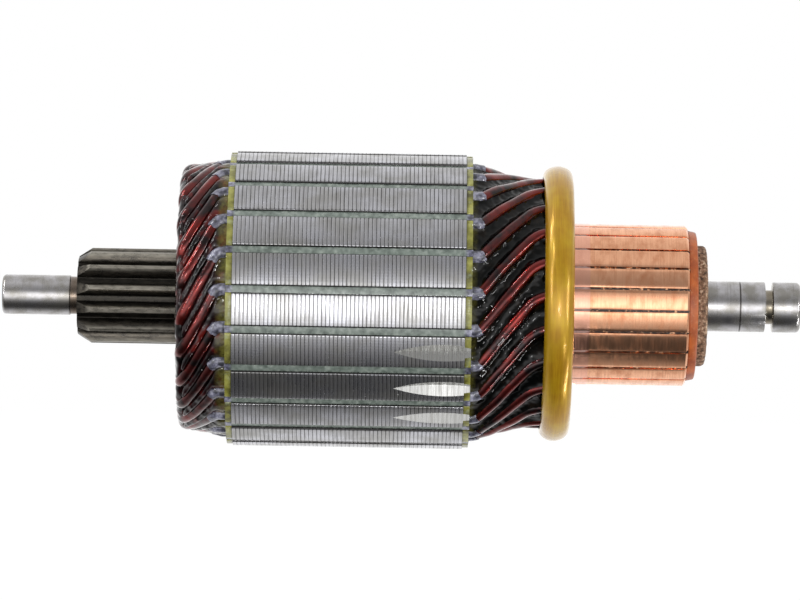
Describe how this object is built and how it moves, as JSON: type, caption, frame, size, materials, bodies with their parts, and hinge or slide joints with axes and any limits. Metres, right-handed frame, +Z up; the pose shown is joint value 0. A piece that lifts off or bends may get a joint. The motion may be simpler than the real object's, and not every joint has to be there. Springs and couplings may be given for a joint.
{
  "type": "motor armature",
  "caption": "Wound rotor of a starter motor: shaft with sun gear and journals, slotted laminated core with hairpin coils, banding ring and copper commutator.",
  "frame": {"origin": "on the shaft axis, halfway between the two shaft tips", "axes": "+X along the shaft towards the commutator end, +Z up, -Y towards the side first seen"},
  "size_m": [0.1592, 0.0588, 0.0588],
  "materials": {
    "ground_steel": "turned and ground steel, dark phosphate on the gear",
    "core_steel": "stamped electrical steel, turned outside",
    "insulating_board": "olive insulating board",
    "liner_paper": "grey insulating paper soaked with resin",
    "enamelled_wire": "copper wire with dark red enamel and clear resin",
    "commutator_copper": "turned copper",
    "phenolic": "orange-brown phenolic moulding",
    "end_ring_moulding": "rough glass-filled moulding",
    "glass_banding": "glass roving in cured resin"
  },
  "bodies": {
    "root": {"shaft": "ground_steel", "laminations": "core_steel", "end_insulator_drive": "insulating_board", "end_insulator_commutator": "insulating_board", "slot_liners": "liner_paper", "coil_01": "enamelled_wire", "coil_02": "enamelled_wire", "coil_03": "enamelled_wire", "coil_04": "enamelled_wire", "coil_05": "enamelled_wire", "coil_06": "enamelled_wire", "coil_07": "enamelled_wire", "coil_08": "enamelled_wire", "coil_09": "enamelled_wire", "coil_10": "enamelled_wire", "coil_11": "enamelled_wire", "coil_12": "enamelled_wire", "coil_13": "enamelled_wire", "coil_14": "enamelled_wire", "coil_15": "enamelled_wire", "coil_16": "enamelled_wire", "coil_17": "enamelled_wire", "coil_18": "enamelled_wire", "coil_19": "enamelled_wire", "coil_20": "enamelled_wire", "coil_21": "enamelled_wire", "coil_22": "enamelled_wire", "coil_23": "enamelled_wire", "commutator_bar_01": "commutator_copper", "commutator_bar_02": "commutator_copper", "commutator_bar_03": "commutator_copper", "commutator_bar_04": "commutator_copper", "commutator_bar_05": "commutator_copper", "commutator_bar_06": "commutator_copper", "commutator_bar_07": "commutator_copper", "commutator_bar_08": "commutator_copper", "commutator_bar_09": "commutator_copper", "commutator_bar_10": "commutator_copper", "commutator_bar_11": "commutator_copper", "commutator_bar_12": "commutator_copper", "commutator_bar_13": "commutator_copper", "commutator_bar_14": "commutator_copper", "commutator_bar_15": "commutator_copper", "commutator_bar_16": "commutator_copper", "commutator_bar_17": "commutator_copper", "commutator_bar_18": "commutator_copper", "commutator_bar_19": "commutator_copper", "commutator_bar_20": "commutator_copper", "commutator_bar_21": "commutator_copper", "commutator_bar_22": "commutator_copper", "commutator_bar_23": "commutator_copper", "commutator_hub": "phenolic", "commutator_end_ring": "end_ring_moulding", "banding_ring": "glass_banding"}
  },
  "joints": []
}
